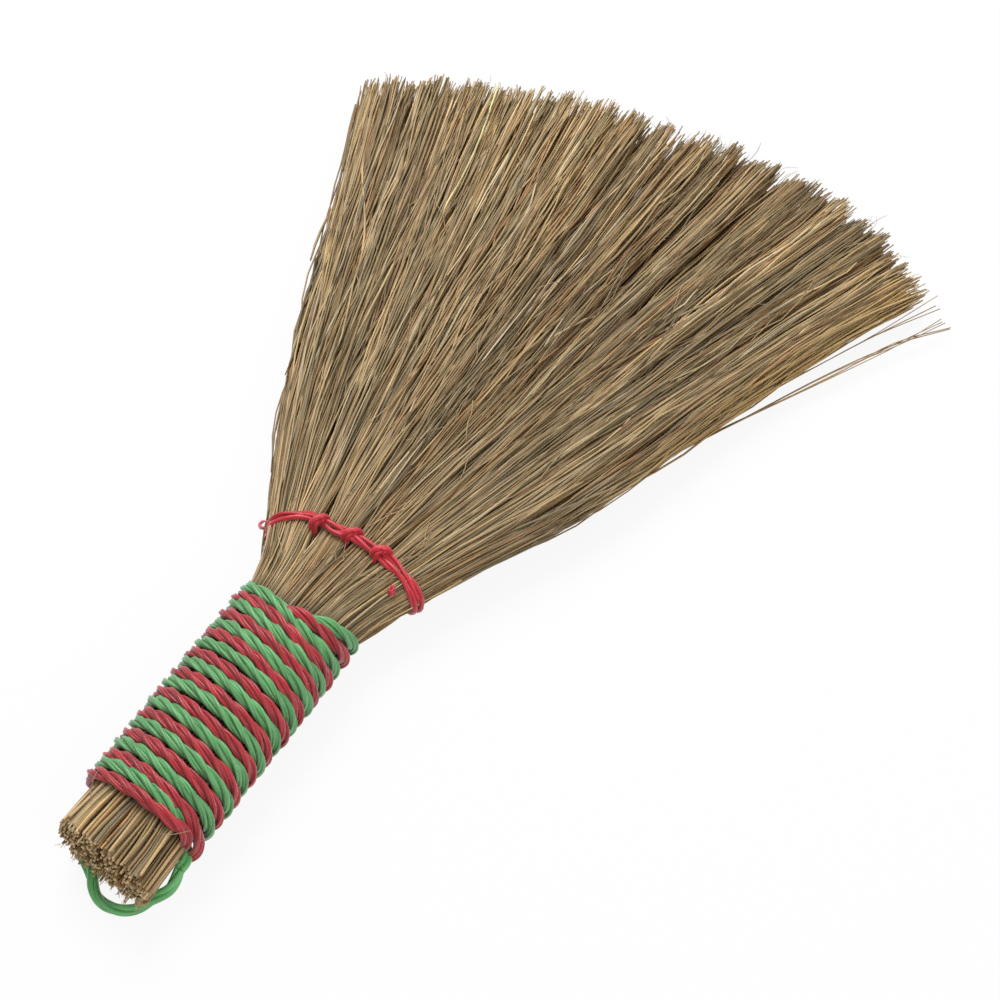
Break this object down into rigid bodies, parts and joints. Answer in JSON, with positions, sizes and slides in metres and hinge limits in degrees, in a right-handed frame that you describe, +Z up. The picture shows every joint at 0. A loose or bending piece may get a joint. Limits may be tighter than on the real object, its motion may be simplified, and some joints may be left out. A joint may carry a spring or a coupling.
{
  "type": "hand broom",
  "caption": "Flat hand broom of natural straw, its grip bound with red and green plastic twine, its fan stitched across the neck, with a cord loop to hang it by",
  "frame": {"origin": "below the middle of the broom's length, on the surface that it lies on", "axes": "X across the fan, Y from the cut butt ends to the tips, Z up out of the front face"},
  "size_m": [0.2319, 0.3682, 0.0282],
  "materials": {
    "straw": "matt dry grass",
    "green_twine": "glossy split-film twine",
    "red_twine": "glossy split-film twine"
  },
  "bodies": {
    "broom": {"straw_tuft_left": "straw", "straw_tuft_mid_left": "straw", "straw_tuft_mid_right": "straw", "straw_tuft_right": "straw", "green_grip_cord": "green_twine", "loop_leg_left": "green_twine", "loop_leg_right": "green_twine", "red_grip_cord": "red_twine", "stitch_lashing": "red_twine", "stitch_tie_left": "red_twine", "stitch_tie_middle": "red_twine", "stitch_tie_right": "red_twine", "stitch_tail": "red_twine", "stitch_cut_end": "red_twine"},
    "loop": {"hanging_loop": "green_twine"}
  },
  "joints": [
    {"name": "loop_swing", "type": "hinge", "parent": "broom", "child": "loop", "pos_m": [0, -0.16553, 0.00751], "axis": [1, 0, 0], "range_deg": [0, 90]}
  ]
}
